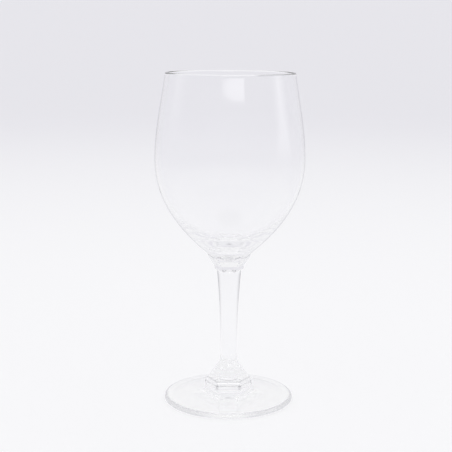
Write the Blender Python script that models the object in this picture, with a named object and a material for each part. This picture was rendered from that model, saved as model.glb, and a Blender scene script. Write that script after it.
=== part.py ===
"""A stemmed wine glass, in three pieces of clear glass fused end to end: a blown tulip bowl, a pressed stem
with a six-sided collar and plinth, and a pressed foot. It stands on the foot, with +Z up and the origin in
the middle of the circle that it rests on. Two flats of the plinth face -Y and +Y."""

import math

import bmesh
import bpy

MM = 0.001
TURNS = 64  # sides of a turned piece
JOINT_GAP = 0.3 * MM  # left between two pieces that meet

# Foot
FOOT_RADIUS = 33.5 * MM
FOOT_EDGE = 2.7 * MM  # thickness at the rounded edge
FOOT_HOLLOW = 1.5 * MM  # how far the middle of the underside is above the table
RING_INNER = 29.8 * MM  # the flat ring that the glass stands on
RING_OUTER = 31.9 * MM
SEAT_RADIUS = 12.8 * MM  # the raised seat under the plinth
SEAT_HEIGHT = 5.3 * MM
FOOT_SLOPE = 7.0 * MM  # how far each end of the upper side keeps its own slope
FOOT_RISE = 0.7 * MM  # the rise over that distance, at the edge
SEAT_RISE = 1.3 * MM  # the same at the seat, where it is steeper

# Stem: distances from the axis are to the corners, where a section has them
PLINTH_REACH = 12.2 * MM
PLINTH_HEIGHT = 3.8 * MM
STEP_REACH = 11.4 * MM  # the sloped step above the plinth's band
STEP_HEIGHT = 1.9 * MM
NECK_REACH = 5.9 * MM  # the narrow top of the pyramid
NECK_HEIGHT = 18.4 * MM
NECK_ROUNDNESS = 0.5  # there the hexagon is half way to a circle
WAIST_RADIUS = 4.35 * MM  # the thinnest place of the shank
WAIST_HEIGHT = 25.0 * MM
SHANK_TOP_RADIUS = 6.2 * MM
SHANK_TOP_HEIGHT = 68.4 * MM
SHANK_SPREAD = 1.4 * MM  # how much it widens over its last stretch
SHANK_STRETCH = 15.0 * MM
COLLAR_STEP = 1.0 * MM  # from the shank out to the collar's lowest edge
COLLAR_LOW_REACH = 7.3 * MM
COLLAR_MIDDLE_REACH = 7.9 * MM
COLLAR_MIDDLE_HEIGHT = 71.8 * MM
COLLAR_REACH = 11.0 * MM
COLLAR_TOP_HEIGHT = 76.1 * MM

# Bowl
TOTAL_HEIGHT = 170.0 * MM
RIM_RADIUS = 32.8 * MM
RIM_WALL = 1.2 * MM
BELLY_RADIUS = 38.2 * MM
BELLY_HEIGHT = 126.0 * MM
BELLY_WALL = 1.3 * MM
BASE_RADIUS = 9.5 * MM  # where the bowl's solid bottom meets the collar
FLANK_OUT = 10.5 * MM  # the flank leaves the base by this much out
FLANK_UP = 8.8 * MM  # for this much up
BELLY_BELOW = 25.0 * MM  # how far the belly stays upright below its widest place
BELLY_ABOVE = 14.0 * MM  # and above it
RIM_LEAN = 2.4 * MM  # the wall leans in by this much
RIM_RUN = 15.9 * MM  # over this last stretch below the rim
CAVITY_FLOOR = 82.2 * MM
FLOOR_REACH = 16.0 * MM  # how far the cavity's floor keeps flat
CAVITY_BELOW = 26.5 * MM  # how far the inside stays upright below the widest place


def clear_scene():
    for obj in list(bpy.data.objects):
        bpy.data.objects.remove(obj, do_unlink=True)


def clear_glass(name, colour):
    material = bpy.data.materials.new(name)
    material.use_nodes = True
    shader = material.node_tree.nodes["Principled BSDF"]
    shader.inputs["Base Color"].default_value = (*colour, 1.0)
    shader.inputs["Roughness"].default_value = 0.02
    shader.inputs["Metallic"].default_value = 0.0
    shader.inputs["IOR"].default_value = 1.52
    shader.inputs["Transmission Weight"].default_value = 1.0
    return material


def finish(name, shape, material):
    """Makes the object of a closed shape, round where it is round and sharp at its edges."""
    bmesh.ops.remove_doubles(shape, verts=shape.verts, dist=0.01 * MM)
    bmesh.ops.recalc_face_normals(shape, faces=shape.faces)
    mesh = bpy.data.meshes.new(name)
    shape.to_mesh(mesh)
    shape.free()
    mesh.shade_smooth()
    mesh.set_sharp_from_angle(angle=math.radians(35))
    mesh.materials.append(material)
    obj = bpy.data.objects.new(name, mesh)
    bpy.context.collection.objects.link(obj)
    return obj


def bent(start, pull, push, end, steps):
    """A smooth bend as a cubic curve: it leaves start towards pull and reaches end from push."""
    points = []
    for i in range(steps + 1):
        t = i / steps
        weights = ((1 - t) ** 3, 3 * t * (1 - t) ** 2, 3 * t * t * (1 - t), t**3)
        corners = (start, pull, push, end)
        points.append(tuple(sum(w * c[k] for w, c in zip(weights, corners)) for k in (0, 1)))
    return points


def rounded(centre, radii, start, end, steps):
    """An arc of an ellipse round centre, between two angles in degrees."""
    points = []
    for i in range(steps + 1):
        angle = math.radians(start + (end - start) * i / steps)
        points.append((centre[0] + radii[0] * math.cos(angle), centre[1] + radii[1] * math.sin(angle)))
    return points


def turned(name, outline, material):
    """Spins an outline of (radius, height) points, axis to axis, into a closed round solid."""
    shape = bmesh.new()
    verts = [shape.verts.new((radius, 0.0, height)) for radius, height in outline]
    edges = [shape.edges.new(pair) for pair in zip(verts, verts[1:])]
    bmesh.ops.spin(
        shape,
        geom=verts + edges,
        cent=(0, 0, 0),
        axis=(0, 0, 1),
        angle=math.tau,
        steps=TURNS,
        use_merge=True,
    )
    return finish(name, shape, material)


def make_foot(material):
    half_edge = FOOT_EDGE / 2
    outline = bent(
        (0, FOOT_HOLLOW),
        (RING_INNER / 3, FOOT_HOLLOW),
        (RING_INNER * 2 / 3, FOOT_HOLLOW * 2 / 3),
        (RING_INNER, 0),
        5,
    )
    outline += rounded((RING_OUTER, half_edge), (FOOT_RADIUS - RING_OUTER, half_edge), -90, 90, 6)
    outline += bent(
        (RING_OUTER, FOOT_EDGE),
        (RING_OUTER - FOOT_SLOPE, FOOT_EDGE + FOOT_RISE),
        (SEAT_RADIUS + FOOT_SLOPE, SEAT_HEIGHT - SEAT_RISE),
        (SEAT_RADIUS, SEAT_HEIGHT),
        5,
    )[1:]
    outline.append((0, SEAT_HEIGHT))
    return turned("foot", outline, material)


def section(shape, reach, height, roundness):
    """A ring of points across the stem: a hexagon at roundness 0, a circle at 1."""
    sides, per_side = 6, 8
    ring = []
    for i in range(sides * per_side):
        angle = math.tau * i / (sides * per_side)
        off_middle = angle % (math.tau / sides) - math.pi / sides
        flat = math.cos(math.pi / sides) / math.cos(off_middle)
        radius = reach * (roundness + (1 - roundness) * flat)
        ring.append(shape.verts.new((radius * math.cos(angle), radius * math.sin(angle), height)))
    return ring


def make_stem(material):
    base = SEAT_HEIGHT + JOINT_GAP
    band_top = base + PLINTH_HEIGHT
    step_top = band_top + STEP_HEIGHT
    steps = [
        (PLINTH_REACH, base, 0),
        (PLINTH_REACH, band_top, 0),
        (STEP_REACH, step_top, 0),
        ((STEP_REACH + NECK_REACH) / 2, (step_top + NECK_HEIGHT) / 2, 0),
        (NECK_REACH, NECK_HEIGHT, NECK_ROUNDNESS),
    ]
    hollow = bent(
        (NECK_REACH, NECK_HEIGHT),
        (WAIST_RADIUS, NECK_HEIGHT + NECK_REACH - WAIST_RADIUS),
        (WAIST_RADIUS, (NECK_HEIGHT + WAIST_HEIGHT) / 2),
        (WAIST_RADIUS, WAIST_HEIGHT),
        5,
    )[1:]
    shank = bent(
        (WAIST_RADIUS, WAIST_HEIGHT),
        (WAIST_RADIUS, WAIST_HEIGHT + SHANK_STRETCH),
        (SHANK_TOP_RADIUS - SHANK_SPREAD, SHANK_TOP_HEIGHT - SHANK_STRETCH),
        (SHANK_TOP_RADIUS, SHANK_TOP_HEIGHT),
        7,
    )[1:]
    steps += [(radius, height, 1) for radius, height in hollow + shank]
    steps += [
        (COLLAR_LOW_REACH, SHANK_TOP_HEIGHT + COLLAR_STEP, 0),
        (COLLAR_MIDDLE_REACH, COLLAR_MIDDLE_HEIGHT, 0),
        (COLLAR_REACH, COLLAR_TOP_HEIGHT, 0),
    ]
    shape = bmesh.new()
    rings = [section(shape, *step) for step in steps]
    count = len(rings[0])
    for low, high in zip(rings, rings[1:]):
        for i in range(count):
            shape.faces.new((low[i], low[(i + 1) % count], high[(i + 1) % count], high[i]))
    shape.faces.new(reversed(rings[0]))
    shape.faces.new(rings[-1])
    return finish("stem", shape, material)


def make_bowl(material):
    base = COLLAR_TOP_HEIGHT + JOINT_GAP
    lip = RIM_WALL / 2
    lip_height = TOTAL_HEIGHT - lip
    rim_inner = RIM_RADIUS - RIM_WALL
    belly_inner = BELLY_RADIUS - BELLY_WALL
    # Outside, from the axis of the solid bottom up to the rim
    outline = [(0, base)]
    outline += bent(
        (BASE_RADIUS, base),
        (BASE_RADIUS + FLANK_OUT, base + FLANK_UP),
        (BELLY_RADIUS, BELLY_HEIGHT - BELLY_BELOW),
        (BELLY_RADIUS, BELLY_HEIGHT),
        11,
    )
    outline += bent(
        (BELLY_RADIUS, BELLY_HEIGHT),
        (BELLY_RADIUS, BELLY_HEIGHT + BELLY_ABOVE),
        (RIM_RADIUS + RIM_LEAN, lip_height - RIM_RUN),
        (RIM_RADIUS, lip_height),
        7,
    )[1:]
    outline += rounded((RIM_RADIUS - lip, lip_height), (lip, lip), 0, 180, 6)[1:]
    # Inside, from the rim down to the middle of the cavity's floor
    outline += bent(
        (rim_inner, lip_height),
        (rim_inner + RIM_LEAN, lip_height - RIM_RUN),
        (belly_inner, BELLY_HEIGHT + BELLY_ABOVE),
        (belly_inner, BELLY_HEIGHT),
        7,
    )[1:]
    outline += bent(
        (belly_inner, BELLY_HEIGHT),
        (belly_inner, BELLY_HEIGHT - CAVITY_BELOW),
        (FLOOR_REACH, CAVITY_FLOOR),
        (0, CAVITY_FLOOR),
        11,
    )[1:]
    return turned("bowl", outline, material)


clear_scene()
foot = make_foot(clear_glass("foot_glass", (0.93, 0.935, 0.95)))
stem = make_stem(clear_glass("stem_glass", (0.94, 0.945, 0.955)))
bowl = make_bowl(clear_glass("bowl_glass", (0.95, 0.955, 0.965)))
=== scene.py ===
"""A stemmed wine glass in clear glass: a blown tulip bowl, a pressed six-sided stem and a pressed foot,
fused end to end. The glass stands on a pale sweep in soft light."""

import math

import bmesh
import bpy
from mathutils import Matrix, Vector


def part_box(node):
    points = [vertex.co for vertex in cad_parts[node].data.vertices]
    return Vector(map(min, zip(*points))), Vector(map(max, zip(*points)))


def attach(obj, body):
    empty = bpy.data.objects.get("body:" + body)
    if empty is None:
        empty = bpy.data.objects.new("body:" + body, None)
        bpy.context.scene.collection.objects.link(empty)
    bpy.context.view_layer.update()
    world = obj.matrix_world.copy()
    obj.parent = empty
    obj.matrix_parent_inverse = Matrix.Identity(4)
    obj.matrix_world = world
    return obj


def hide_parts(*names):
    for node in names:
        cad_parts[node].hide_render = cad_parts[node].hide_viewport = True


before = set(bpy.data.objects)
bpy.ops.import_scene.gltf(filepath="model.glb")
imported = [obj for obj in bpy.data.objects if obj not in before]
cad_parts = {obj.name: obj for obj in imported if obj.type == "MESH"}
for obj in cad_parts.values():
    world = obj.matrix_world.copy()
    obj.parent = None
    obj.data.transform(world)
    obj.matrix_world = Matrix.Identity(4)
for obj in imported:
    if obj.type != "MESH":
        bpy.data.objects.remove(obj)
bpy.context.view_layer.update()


# ---- Foot ----
# The pressed disc that the glass stands on. It has a fire-polished edge, rises gently to the plinth, and is
# hollow underneath, so that it stands on a narrow ring. The plinth of the stem is fused onto its middle.

MM = 0.001
SIDES = 6  # of the collar and the plinth
POINTS_PER_SIDE = 28
CORNER_ROUNDING = 0.5 * MM  # pressed corners are never quite sharp
CORNER_CROWDING = 0.85  # how strongly the points of a hexagon gather at its corners

foot_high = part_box("foot")[1]
stem_low, stem_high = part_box("stem")

foot_radius = foot_high[0]
foot_edge = 2.7 * MM  # thickness at the rounded edge
foot_hollow = 1.5 * MM  # how far the middle of the underside is above the table
hollow_middle = 1.5 * MM  # the radius of its level middle
ring_inner = foot_radius - 3.7 * MM  # the narrow ring that the glass stands on
ring_outer = foot_radius - 1.6 * MM
plinth_reach = stem_high[0]  # from the axis to a corner of the plinth
plinth_base = stem_low[2]
seat_height = foot_high[2]
fillet_width = 1.4 * MM  # the small hollow between the plinth and the foot
fillet_drop = 1.0 * MM
foot_tint = (0.998, 1.0, 0.998)
# painted shade: the dark colour on the foot's rounded edge stands in for dark surroundings the glass bends
# into view there
foot_painted_shade_colour = (0.62, 0.62, 0.64)
side_shade_share = 0.85  # of the painted shade on the edge, that only its left and right have
mould_wave = 0.02 * MM  # how deep the waves are that a mould leaves


def section_point(index, reach, roundness):
    """The (x, y) of one of the points round a section: a soft-cornered hexagon drawn towards a circle."""
    sixth = math.tau / SIDES
    along = (index % POINTS_PER_SIDE) / POINTS_PER_SIDE
    crowding = CORNER_CROWDING * (1 - roundness)
    off_corner = sixth * (along - crowding * math.sin(math.tau * along) / math.tau)
    nearest = min(off_corner, sixth - off_corner)
    half_turn = math.cos(sixth / 2)
    to_flat = reach * half_turn / math.cos(sixth / 2 - nearest)
    arc_centre = reach - CORNER_ROUNDING / half_turn
    arc_end = math.atan2(
        CORNER_ROUNDING * math.sin(sixth / 2), arc_centre + CORNER_ROUNDING * half_turn
    )
    if nearest < arc_end:
        aside = arc_centre * math.sin(nearest)
        to_flat = arc_centre * math.cos(nearest) + math.sqrt(CORNER_ROUNDING**2 - aside**2)
    radius = reach * roundness + to_flat * (1 - roundness)
    angle = sixth * (index // POINTS_PER_SIDE) + off_corner
    return radius * math.cos(angle), radius * math.sin(angle)


def set_section(ring, reach, height, roundness):
    """Moves a ring of points onto a section. The height is a number, or gives the height for a radius."""
    for index, vert in enumerate(ring):
        x, y = section_point(index, reach, roundness)
        vert.co = (x, y, height(math.hypot(x, y)) if callable(height) else height)


def start_ring(shape, reach, height, roundness):
    """The first ring of a piece, from which the rest is extruded."""
    made = bmesh.ops.create_circle(shape, segments=SIDES * POINTS_PER_SIDE, radius=reach)
    ring = list(made["verts"])
    set_section(ring, reach, height, roundness)
    return ring


def extruded(shape, ring):
    """Extrudes a ring in place and returns the new ring, in the same order."""
    edges = [shape.edges.get(pair) for pair in zip(ring, ring[1:] + ring[:1])]
    made = bmesh.ops.extrude_edge_only(shape, edges=edges)["geom"]
    new = {item for item in made if isinstance(item, bmesh.types.BMVert)}
    return [next(e.other_vert(v) for e in v.link_edges if e.other_vert(v) in new) for v in ring]


def drawn(shape, ring, outline):
    """Extrudes a ring through each (reach, height, roundness) of an outline in turn."""
    for reach, height, roundness in outline:
        ring = extruded(shape, ring)
        set_section(ring, reach, height, roundness)
    return ring


def closed_off(shape, ring, height, slot=0):
    """Draws a ring together to a point on the axis."""
    bmesh.ops.pointmerge(shape, verts=extruded(shape, ring), merge_co=(0, 0, height))
    for vert in ring:
        for face in vert.link_faces:
            if any(math.hypot(v.co.x, v.co.y) < 0.001 * MM for v in face.verts):
                face.material_index = slot


def bent(start, pull, push, end, steps):
    """A smooth bend as a cubic curve, without its first point: it leaves start towards pull and reaches end
    from push."""
    points = []
    for i in range(1, steps + 1):
        t = i / steps
        weights = ((1 - t) ** 3, 3 * t * (1 - t) ** 2, 3 * t * t * (1 - t), t**3)
        corners = (start, pull, push, end)
        points.append(tuple(sum(w * c[k] for w, c in zip(weights, corners)) for k in range(len(start))))
    return points


def rounded(centre, radii, start, end, steps):
    """An arc of an ellipse round centre, between two angles in degrees, leaving out its first point."""
    points = []
    for i in range(1, steps + 1):
        angle = math.radians(start + (end - start) * i / steps)
        points.append((centre[0] + radii[0] * math.cos(angle), centre[1] + radii[1] * math.sin(angle), 1))
    return points


def storage_order(item):
    """Sorts faces or edges by height first, so that a mesh is stored in the same order each run."""
    x, y, z = (sum(v.co[k] for v in item.verts) / len(item.verts) for k in range(3))
    height_weight = 1e6
    radius_weight = 1e3
    return z * height_weight + math.hypot(x, y) * radius_weight + math.atan2(y, x)


def finished(name, shape, materials):
    """The object of a closed shape."""
    bmesh.ops.recalc_face_normals(shape, faces=shape.faces)
    shape.edges.sort(key=storage_order)
    shape.faces.sort(key=storage_order)
    mesh = bpy.data.meshes.new(name)
    shape.to_mesh(mesh)
    shape.free()
    mesh.shade_smooth()
    for material in materials:
        mesh.materials.append(material)
    piece = bpy.data.objects.new(name, mesh)
    bpy.context.collection.objects.link(piece)
    return piece


class Wire:
    """A socket of a material. Arithmetic on it adds Math nodes."""

    def __init__(self, finish, socket):
        self.finish = finish
        self.socket = socket

    def sum_with(self, operation, first, second):
        return self.finish.add("ShaderNodeMath", {"operation": operation}, {0: first, 1: second})

    def __add__(self, other):
        return self.sum_with("ADD", self, other)

    def __sub__(self, other):
        return self.sum_with("SUBTRACT", self, other)

    def __rsub__(self, other):
        return self.sum_with("SUBTRACT", other, self)

    def __mul__(self, other):
        return self.sum_with("MULTIPLY", self, other)

    __radd__ = __add__
    __rmul__ = __mul__


class Finish:
    """The nodes of one material or of the surroundings."""

    def __init__(self, owner):
        owner.use_nodes = True
        self.tree = owner.node_tree
        self.tree.nodes.clear()

    def add(self, kind, settings, inputs, output=0):
        """Adds a node, with its settings first and then the values or wires of its sockets."""
        node = self.tree.nodes.new(kind)
        for name, value in settings.items():
            setattr(node, name, value)
        for name, value in inputs.items():
            if isinstance(value, Wire):
                self.tree.links.new(value.socket, node.inputs[name])
            else:
                node.inputs[name].default_value = value
        return Wire(self, node.outputs[output] if node.outputs else None)

    def ramp(self, value, start, end):
        """A smooth rise from 0 at start to 1 at end."""
        settings = {"interpolation_type": "SMOOTHSTEP"}
        return self.add("ShaderNodeMapRange", settings, {"Value": value, "From Min": start, "From Max": end})

    def band(self, value, low, high, edge):
        """1 from low to high, falling to 0 over the width edge on both sides."""
        return self.ramp(value, low - edge, low) * self.ramp(value, high + edge, high)

    def along(self, place, axis):
        """The X, Y or Z of a place."""
        return self.add("ShaderNodeSeparateXYZ", {}, {"Vector": place}, axis)

    def from_axis(self, place):
        """How far a place is from the axis of the glass."""
        level = self.add("ShaderNodeVectorMath", {"operation": "MULTIPLY"}, {0: place, 1: (1, 1, 0)})
        return self.add("ShaderNodeVectorMath", {"operation": "LENGTH"}, {0: level}, "Value")

    def blend(self, factor, first, second):
        """A colour from first at factor 0 to second at 1. The first may be a wire."""
        start = first if isinstance(first, Wire) else (*first, 1)
        inputs = {"Factor": factor, "A": start, "B": (*second, 1)}
        return self.add("ShaderNodeMix", {"data_type": "RGBA"}, inputs, "Result")


def clear_glass(name, tint, painted_shade_colour, painted_shade, wave_scale, wave_depth):
    """Clear soda-lime glass: faint waves left by the mould or the blow, faint wipe marks, and painted shade:
    a dark colour on the surface that the camera sees first, standing in for the dark surroundings that the
    glass bends into view at its edges and arrises. How far it darkens is worked out from the place on the
    piece and from how far edge on it is seen."""
    material = bpy.data.materials.new(name)
    finish = Finish(material)
    place = finish.add("ShaderNodeTexCoord", {}, {}, "Object")
    edge_on = finish.add("ShaderNodeLayerWeight", {}, {"Blend": 0.5}, "Facing")
    first_surface = finish.add("ShaderNodeLightPath", {}, {}, "Is Camera Ray")
    # Painted shade: the surface the camera sees first is darkened at edges and arrises, standing in for dark
    # surroundings seen through the glass
    colour = finish.blend(painted_shade(finish, place, edge_on) * first_surface, tint, painted_shade_colour)
    stretched = finish.add("ShaderNodeMapping", {}, {"Vector": place, "Scale": wave_scale})
    wave = finish.add("ShaderNodeTexNoise", {}, {"Vector": stretched, "Scale": 1.0, "Detail": 1.5}, "Fac")
    wipe = finish.add("ShaderNodeTexNoise", {}, {"Vector": place, "Scale": 70.0, "Detail": 3.0}, "Fac")
    roughness = finish.add(
        "ShaderNodeMapRange",
        {},
        {"Value": wipe, "From Min": 0.55, "From Max": 0.8, "To Min": 0.0, "To Max": 0.03},
    )
    normal = finish.add("ShaderNodeBump", {}, {"Height": wave, "Strength": 0.3, "Distance": wave_depth})
    glass = finish.add(
        "ShaderNodeBsdfPrincipled",
        {},
        {
            "Base Color": colour,
            "Roughness": roughness,
            "IOR": 1.52,
            "Transmission Weight": 1.0,
            "Normal": normal,
        },
    )
    # Light on its way through to the sweep is dimmed a little, so that the glass casts a faint shade
    shading = finish.add("ShaderNodeLightPath", {}, {}, "Is Shadow Ray")
    dimmed = finish.add("ShaderNodeBsdfTransparent", {}, {"Color": (0.98, 0.98, 0.985, 1)})
    surface = finish.add("ShaderNodeMixShader", {}, {0: shading, 1: glass, 2: dimmed})
    finish.add("ShaderNodeOutputMaterial", {}, {"Surface": surface})
    return material


def fused_joint(name):
    """Where two pieces are fused, the glass runs on from one to the other and no surface is left to see."""
    material = bpy.data.materials.new(name)
    finish = Finish(material)
    nothing = finish.add("ShaderNodeBsdfPrincipled", {}, {"Alpha": 0.0})
    finish.add("ShaderNodeOutputMaterial", {}, {"Surface": nothing})
    return material


def foot_painted_shade(finish, place, edge_on):
    """Painted shade, only in the rounded edge, and less in the middle of the front and the back."""
    rounding = finish.ramp(finish.from_axis(place), ring_outer - 0.3 * MM, ring_outer + 0.4 * MM)
    aside = finish.add("ShaderNodeMath", {"operation": "ABSOLUTE"}, {0: finish.along(place, "X")})
    sides = finish.ramp(aside, 4 * MM, 16 * MM) * side_shade_share + (1 - side_shade_share)
    return rounding * sides * finish.ramp(edge_on, -0.5, 0.7)


joint_glass = fused_joint("fused_joint")
foot_glass = clear_glass("foot_glass", foot_tint, foot_painted_shade_colour, foot_painted_shade, (60, 60, 60), mould_wave)

foot_shape = bmesh.new()
footprint = start_ring(foot_shape, plinth_reach, plinth_base, 0)
foot_top = bent(
    (plinth_reach, plinth_base, 0),
    (plinth_reach + 0.1 * MM, plinth_base - fillet_drop / 2, 0.05),
    (plinth_reach + 0.5 * MM, plinth_base - 0.8 * MM, 0.2),
    (plinth_reach + fillet_width, plinth_base - fillet_drop, 0.4),
    steps=8,
)
foot_top += bent(
    foot_top[-1],
    (plinth_reach + 5.0 * MM, seat_height - 1.4 * MM, 1),
    (ring_outer - 8.0 * MM, foot_edge + 0.6 * MM, 1),
    (ring_outer, foot_edge, 1),
    steps=24,
)
half_edge = foot_edge / 2
foot_side = rounded((ring_outer, half_edge), (foot_radius - ring_outer, half_edge), 90, -90, steps=20)
foot_under = bent(
    (ring_inner, 0, 1),
    (ring_inner * 2 / 3, foot_hollow * 2 / 3, 1),
    (ring_inner / 3, foot_hollow, 1),
    (hollow_middle, foot_hollow, 1),
    steps=24,
)
last = drawn(foot_shape, footprint, foot_top + foot_side + [(ring_inner, 0, 1)] + foot_under)
closed_off(foot_shape, last, foot_hollow)
closed_off(foot_shape, footprint, plinth_base, slot=1)
foot = finished("pressed_foot", foot_shape, (foot_glass, joint_glass))
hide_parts("foot")
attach(foot, "root")


# ---- Stem ----
# The pressed shank, solid all through. Its plinth and its collar are six-sided, with a flat to the front and
# back, and the round shank between them is drawn in to a waist just above the plinth.

band_top = plinth_base + 3.8 * MM  # of the plinth's upright band
step_top = band_top + 1.9 * MM  # of the sloped step above it
step_reach = plinth_reach - 0.8 * MM
neck_reach = 5.9 * MM  # the narrow top of the pyramid, half way to a circle
neck_height = 18.4 * MM
neck_roundness = 0.5
waist_radius = 4.35 * MM
waist_height = 25.0 * MM
shank_top_radius = 6.2 * MM
shank_top_height = 68.4 * MM
shank_stretch = 15.0 * MM  # over which each end of the shank keeps its own slope
shank_spread = 1.4 * MM  # how much it widens over the last stretch
collar_low_reach = 7.3 * MM
collar_reach = 11.0 * MM
collar_top = stem_high[2]
longest_step = 0.5 * MM
stem_tint = (0.985, 0.985, 0.99)
# painted shade: dark lines on the shank's edges, the plinth's arrises and the seam, standing in for
# refracted dark surroundings
stem_painted_shade_colour = (0.14, 0.14, 0.16)
arris_shade_share = 0.45  # of the painted shade, in an arris of the plinth
step_shade_share = 0.35  # and in the arris above it
seam_shade_share = 0.3  # along the fused seam under the bowl
seam_corner_shade_share = 0.5  # and how much more at its six corners

bowl_low, bowl_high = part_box("bowl")
bowl_base = bowl_low[2]
base_radius = 9.5 * MM
belly_radius = bowl_high[0]
belly_height = 126.0 * MM
flank_out = 10.5 * MM  # the bowl's outside leaves its base by this much out
flank_up = 8.8 * MM  # for this much up
flank_slope = flank_up / flank_out
belly_below = 25.0 * MM  # how far the belly stays upright below its widest place


def towards(start, end, length):
    """The point that is a length from start on the way to end."""
    share = length / math.dist(start[:2], end[:2])
    return tuple(s + (e - s) * share for s, e in zip(start, end))


def eased(corners, ease):
    """The points through some corners, with each inner corner rounded over the length ease on both sides."""
    ends = [corners[0]]
    bend_steps = 6
    for before, corner, after in zip(corners, corners[1:], corners[2:]):
        start = towards(corner, before, ease)
        end = towards(corner, after, ease)
        for i in range(bend_steps + 1):
            t = i / bend_steps
            weights = ((1 - t) ** 2, 2 * t * (1 - t), t * t)
            pulls = (start, corner, end)
            ends.append(tuple(sum(w * c[k] for w, c in zip(weights, pulls)) for k in range(3)))
    ends.append(corners[-1])
    points = []
    for a, b in zip(ends, ends[1:]):
        count = max(1, math.ceil(math.dist(a[:2], b[:2]) / longest_step))
        points += [tuple(a[k] + (b[k] - a[k]) * (i + 1) / count for k in range(3)) for i in range(count)]
    return points


flank = bent(
    (base_radius, bowl_base),
    (base_radius + flank_out, bowl_base + flank_up),
    (belly_radius, belly_height - belly_below),
    (belly_radius, belly_height),
    steps=60,
)


def flank_height(radius):
    """The height of the bowl's outside, below the belly, at a radius."""
    below = (base_radius, bowl_base)
    for point in flank:
        if point[0] >= radius:
            share = (radius - below[0]) / (point[0] - below[0])
            return below[1] + (point[1] - below[1]) * share
        below = point
    return below[1]


def stem_painted_shade(finish, place, edge_on):
    """Painted shade: in the shank where it is seen edge on, the more the nearer its thick upper end, and in
    the arrises of the plinth and the fused seam under the bowl, standing in for dark surroundings the glass
    bends into view."""
    height = finish.along(place, "Z")
    radius = finish.from_axis(place)
    shank = finish.ramp(height, waist_height - 1.0 * MM, shank_top_height - 2.4 * MM)
    shank = shank * finish.ramp(height, shank_top_height + 0.6 * MM, shank_top_height)
    shank = shank * finish.ramp(edge_on, 0.3, 0.88)
    corner = finish.ramp(radius, plinth_reach - 0.7 * MM, plinth_reach - 0.25 * MM)
    corner = corner * finish.ramp(height, band_top - 2.8 * MM, band_top - 1.2 * MM)
    band_edge = finish.band(height, band_top - 0.1 * MM, band_top + 0.1 * MM, 0.25 * MM)
    step_edge = finish.band(height, step_top - 0.1 * MM, step_top + 0.4 * MM, 0.25 * MM)
    below_flank = height - (radius - base_radius) * flank_slope
    seam = finish.ramp(below_flank, bowl_base - 0.7 * MM, bowl_base - 0.15 * MM)
    seam = seam * finish.ramp(height, collar_top - 1.0 * MM, collar_top - 0.5 * MM)
    seam_corner = finish.ramp(radius, collar_reach - 1.3 * MM, collar_reach - 0.4 * MM)
    seam = seam * (seam_corner * seam_corner_shade_share + seam_shade_share)
    return shank + corner * arris_shade_share + band_edge * arris_shade_share + step_edge * step_shade_share + seam


stem_glass = clear_glass("stem_glass", stem_tint, stem_painted_shade_colour, stem_painted_shade, (90, 90, 25), mould_wave)

stem_shape = bmesh.new()
stem_foot = start_ring(stem_shape, plinth_reach, plinth_base, 0)
stem_outline = eased(
    [
        (plinth_reach, plinth_base, 0),
        (plinth_reach, band_top, 0),
        (step_reach, step_top, 0),
        (neck_reach, neck_height, neck_roundness),
    ],
    ease=0.35 * MM,
)
stem_outline += bent(
    (neck_reach, neck_height, neck_roundness),
    (waist_radius, neck_height + 1.5 * MM, 1),
    (waist_radius, (neck_height + waist_height) / 2, 1),
    (waist_radius, waist_height, 1),
    steps=14,
)
stem_outline += bent(
    (waist_radius, waist_height, 1),
    (waist_radius, waist_height + shank_stretch, 1),
    (shank_top_radius - shank_spread, shank_top_height - shank_stretch, 1),
    (shank_top_radius, shank_top_height, 1),
    steps=40,
)
stem_outline += eased(
    [
        (shank_top_radius, shank_top_height, 1),
        (shank_top_radius + 0.1 * MM, shank_top_height + 0.5 * MM, 0.6),
        (collar_low_reach, shank_top_height + 1.0 * MM, 0),
        (collar_low_reach + 0.6 * MM, shank_top_height + 3.4 * MM, 0),
        (collar_reach - 0.1 * MM, collar_top - 0.1 * MM, 0),
    ],
    ease=0.25 * MM,
)
stem_outline.append((collar_reach, flank_height, 0))
stem_head = drawn(stem_shape, stem_foot, stem_outline)
closed_off(stem_shape, stem_head, bowl_base, slot=1)
closed_off(stem_shape, stem_foot, plinth_base, slot=1)
stem = finished("pressed_stem", stem_shape, (stem_glass, joint_glass))
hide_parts("stem")
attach(stem, "root")


# ---- Bowl ----
# The blown tulip bowl. Its wall is thin from the rim to the belly and thickens to a solid bottom, which is
# fused onto the collar. The rim is fire-polished to a fine round bead.

rim_top = bowl_high[2]
rim_radius = 32.8 * MM
lip = 0.62 * MM  # half the thickness of the rim's bead
rim_wall = 1.15 * MM
rim_lean = 2.4 * MM  # the wall leans in by this much
rim_run = 16.5 * MM  # over this last stretch below the rim
belly_wall = 1.25 * MM
belly_above = 14.0 * MM  # how far the belly stays upright above its widest place
cavity_below = 26.5 * MM  # and the cavity below it
cavity_floor = 82.2 * MM
floor_reach = 16.0 * MM  # how far the cavity's floor keeps flat
floor_middle = 0.8 * MM
round_by = 2.4 * MM  # how far out from the collar the six sides have become round
bowl_tint = (0.985, 0.985, 0.99)
# painted shade: the dark colour on the bowl's edge-on wall and rim stands in for refracted dark surroundings
bowl_painted_shade_colour = (0.09, 0.095, 0.12)
right_rim_shade_share = 0.5  # of the painted shade, in the right-hand stretch of the rim
left_rim_shade_share = 0.4
blown_wave = 0.03 * MM  # how deep the waves are that the blow leaves


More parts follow.
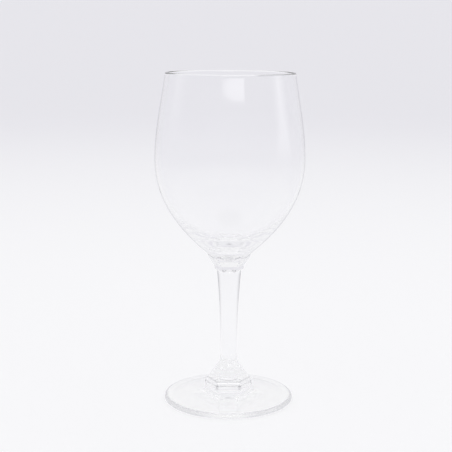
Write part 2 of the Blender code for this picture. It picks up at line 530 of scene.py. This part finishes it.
def bowl_painted_shade(finish, place, edge_on):
    """Painted shade where the wall is seen edge on, and in two stretches of the rim's bead."""
    height = finish.along(place, "Z")
    across = finish.along(place, "X")
    bead = finish.ramp(height, rim_top - 1.8 * MM, rim_top - 0.9 * MM)
    wall = finish.ramp(edge_on, 0.75, 1.0) * (1 - bead)
    top = finish.ramp(height, rim_top - 0.9 * MM, rim_top - 0.4 * MM)
    front = finish.ramp(finish.along(place, "Y"), 2 * MM, -4 * MM)
    right = finish.ramp(across, 10 * MM, 15 * MM) * finish.ramp(across, 30.5 * MM, 27.5 * MM)
    left = finish.ramp(across, -25 * MM, -28 * MM)
    return wall + top * front * (right * right_rim_shade_share + left * left_rim_shade_share)


bowl_glass = clear_glass("bowl_glass", bowl_tint, bowl_painted_shade_colour, bowl_painted_shade, (30, 30, 12), blown_wave)

bowl_shape = bmesh.new()
seat = start_ring(bowl_shape, collar_reach, flank_height, 0)
bowl_outline = []
rounding_steps = 8
for step in range(1, rounding_steps + 1):
    share = step / rounding_steps
    bowl_outline.append((collar_reach + round_by * share, flank_height, share))
bowl_outline += [(r, z, 1) for r, z in flank if r > collar_reach + round_by + longest_step]
bowl_outline += bent(
    (belly_radius, belly_height, 1),
    (belly_radius, belly_height + belly_above, 1),
    (rim_radius + rim_lean, rim_top - rim_run, 1),
    (rim_radius, rim_top - lip, 1),
    steps=40,
)
bowl_outline += rounded((rim_radius - lip, rim_top - lip), (lip, lip), 0, 180, steps=14)
rim_inner = rim_radius - rim_wall
belly_inner = belly_radius - belly_wall
bowl_outline += bent(
    (rim_radius - 2 * lip, rim_top - lip, 1),
    (rim_inner + rim_lean, rim_top - rim_run, 1),
    (belly_inner, belly_height + belly_above, 1),
    (belly_inner, belly_height, 1),
    steps=40,
)
bowl_outline += bent(
    (belly_inner, belly_height, 1),
    (belly_inner, belly_height - cavity_below, 1),
    (floor_reach, cavity_floor, 1),
    (floor_middle, cavity_floor, 1),
    steps=60,
)
last = drawn(bowl_shape, seat, bowl_outline)
closed_off(bowl_shape, last, cavity_floor)
closed_off(bowl_shape, seat, bowl_base, slot=1)
bowl = finished("blown_bowl", bowl_shape, (bowl_glass, joint_glass))
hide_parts("bowl")
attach(bowl, "root")


# ---- Sweep ----
# A pale round sweep of matt paper: a level floor that curves up into a wall all round. Its glow is painted
# light standing in for the studio light on the paper: even, a little less far from the glass and more again
# high on the wall.

start_radius = 0.05
floor_radius = 1.8
wall_bend = 0.8
bend_steps = 12
wall_top = 1.9
below_ring = 0.02 * MM  # the glass rests on the paper's fibres, not in it
near_painted_light = (0.660, 0.660, 0.672)
far_painted_light = (0.538, 0.532, 0.567)
high_painted_light = (0.66, 0.66, 0.66)

sweep_shape = bmesh.new()
bmesh.ops.create_circle(sweep_shape, segments=96, radius=start_radius, cap_ends=True)
ring = [e for e in sweep_shape.edges if e.is_boundary]
profile = [(0.2, 0.0), (0.6, 0.0), (1.2, 0.0), (floor_radius, 0.0)]
for i in range(1, bend_steps + 1):
    angle = math.pi / 2 * i / bend_steps
    profile.append((floor_radius + wall_bend * math.sin(angle), wall_bend * (1 - math.cos(angle))))
profile.append((floor_radius + wall_bend, wall_top))
for radius, height in profile:
    made = bmesh.ops.extrude_edge_only(sweep_shape, edges=ring)["geom"]
    ring = [item for item in made if isinstance(item, bmesh.types.BMEdge)]
    for vert in {v for e in ring for v in e.verts}:
        flat = math.hypot(vert.co.x, vert.co.y)
        vert.co = (vert.co.x / flat * radius, vert.co.y / flat * radius, height)
bmesh.ops.translate(sweep_shape, verts=sweep_shape.verts, vec=(0, 0, -below_ring))
sweep_shape.edges.sort(key=storage_order)
sweep_shape.faces.sort(key=storage_order)

sweep_paper = bpy.data.materials.new("sweep_paper")
finish = Finish(sweep_paper)
place = finish.add("ShaderNodeTexCoord", {}, {}, "Object")
away = finish.add("ShaderNodeVectorMath", {"operation": "LENGTH"}, {0: place}, "Value")
# painted light: the paper's emission stands in for the light falling on it, dimmer away from the glass and
# brighter high on the wall
low_painted_light = finish.blend(finish.ramp(away, 0.1, 1.9), near_painted_light, far_painted_light)
glow = finish.blend(finish.ramp(finish.along(place, "Z"), 0.35, 0.9), low_painted_light, high_painted_light)
paper = finish.add(
    "ShaderNodeBsdfPrincipled",
    {},
    {
        "Base Color": (0.3, 0.3, 0.3, 1),
        "Roughness": 0.9,
        "Specular IOR Level": 0.1,
        "Emission Color": glow,
        "Emission Strength": 1.0,
    },
)
finish.add("ShaderNodeOutputMaterial", {}, {"Surface": paper})
for face in sweep_shape.faces:
    face.smooth = True
sweep_mesh = bpy.data.meshes.new("sweep")
sweep_shape.to_mesh(sweep_mesh)
sweep_shape.free()
sweep_mesh.materials.append(sweep_paper)
sweep = bpy.data.objects.new("sweep", sweep_mesh)
bpy.context.collection.objects.link(sweep)


# ---- Light ----
# Three soft boxes that the glass mirrors: a tall one on the right and a weaker one on the left, whose light
# fades out towards their edges, and a bright one above the front with the sharp edges of a window. The room
# above the sweep is a soft white, with a small dark patch right overhead.

box_steps = 40
right_corners = ((70, -6), (106, -6), (102, 30), (74, 30))
front_corners = ((-15, 16.45), (24, 15.6), (24, 36), (-15, 36))
left_corners = ((-112, 2), (-80, 2), (-80, 26), (-112, 26))
room_shade = (0.86, 0.86, 0.885)
overhead_shade = (0.24, 0.24, 0.26)
bounces = 128  # light turns many times inside the thick glass before it leaves


def soft_box(name, corners, distance, brightness, fade):
    """A soft box round the bowl, between four corners given as (azimuth, elevation) in degrees, in the order
    low left, low right, high right, high left. Azimuth 0 is in front, and 90 is on the right. Its light
    fades over the outer share of its width and height given by fade."""
    shape = bmesh.new()
    bmesh.ops.create_grid(shape, x_segments=box_steps, y_segments=box_steps, size=0.5)
    glow = shape.verts.layers.float.new("glow")
    for vert in shape.verts:
        across = vert.co.x + 0.5
        up = vert.co.y + 0.5
        weights = ((1 - across) * (1 - up), across * (1 - up), across * up, (1 - across) * up)
        azimuth, elevation = (
            math.radians(sum(w * c[k] for w, c in zip(weights, corners))) for k in (0, 1)
        )
        inward = min(across, 1 - across, up, 1 - up)
        vert[glow] = min(1.0, inward / fade)
        flat = distance * math.cos(elevation)
        vert.co = (
            flat * math.sin(azimuth),
            -flat * math.cos(azimuth),
            belly_height + distance * math.sin(elevation),
        )
    mesh = bpy.data.meshes.new(name)
    shape.to_mesh(mesh)
    shape.free()
    material = bpy.data.materials.new(name)
    finish = Finish(material)
    strength = finish.add("ShaderNodeAttribute", {"attribute_name": "glow"}, {}, "Fac")
    light = finish.add("ShaderNodeEmission", {}, {"Color": (1, 1, 1, 1), "Strength": brightness})
    clear = finish.add("ShaderNodeBsdfTransparent", {}, {"Color": (1, 1, 1, 1)})
    faded = finish.add("ShaderNodeMixShader", {}, {0: strength, 1: clear, 2: light})
    finish.add("ShaderNodeOutputMaterial", {}, {"Surface": faded})
    mesh.materials.append(material)
    box = bpy.data.objects.new(name, mesh)
    bpy.context.collection.objects.link(box)
    box.visible_camera = False
    box.visible_transmission = False
    box.visible_shadow = False


soft_box("right_box", right_corners, distance=0.9, brightness=2.4, fade=0.5)
soft_box("front_box", front_corners, distance=1.2, brightness=3.3, fade=0.03)
soft_box("left_box", left_corners, distance=1.0, brightness=1.5, fade=0.5)

world = bpy.data.worlds.new("room")
bpy.context.scene.world = world
finish = Finish(world)
aim = finish.add("ShaderNodeTexCoord", {}, {}, "Generated")
overhead = finish.ramp(finish.along(aim, "Z"), 0.93, 0.98)
shade = finish.blend(overhead, room_shade, overhead_shade)
room = finish.add("ShaderNodeBackground", {}, {"Color": shade, "Strength": 1.0})
finish.add("ShaderNodeOutputWorld", {}, {"Surface": room})
bpy.context.scene.view_settings.view_transform = "Standard"
bpy.context.scene.cycles.max_bounces = bounces
bpy.context.scene.cycles.transmission_bounces = bounces
bpy.context.scene.cycles.glossy_bounces = bounces
bpy.context.scene.cycles.transparent_max_bounces = 32


# ---- Camera ----
# A long lens a little above the rim, looking slightly down at the glass.

sensor_width = 36.0  # mm
lens_length = 85.2  # mm
camera_distance = 0.540
camera_height = 0.190
pan = 0.187  # degrees
tilt_down = 10.3
roll = 0.36

camera_data = bpy.data.cameras.new("camera")
camera = bpy.data.objects.new("camera", camera_data)
camera_data.sensor_width = sensor_width
camera_data.lens = lens_length
camera_place = Matrix.Translation((0.0, -camera_distance, camera_height))
camera_turn = Matrix.Rotation(math.radians(pan), 4, "Z")
camera_tip = Matrix.Rotation(math.radians(90 - tilt_down), 4, "X")
camera_roll = Matrix.Rotation(math.radians(roll), 4, "Z")
camera.matrix_world = camera_place @ camera_turn @ camera_tip @ camera_roll
bpy.context.collection.objects.link(camera)
bpy.context.scene.camera = camera
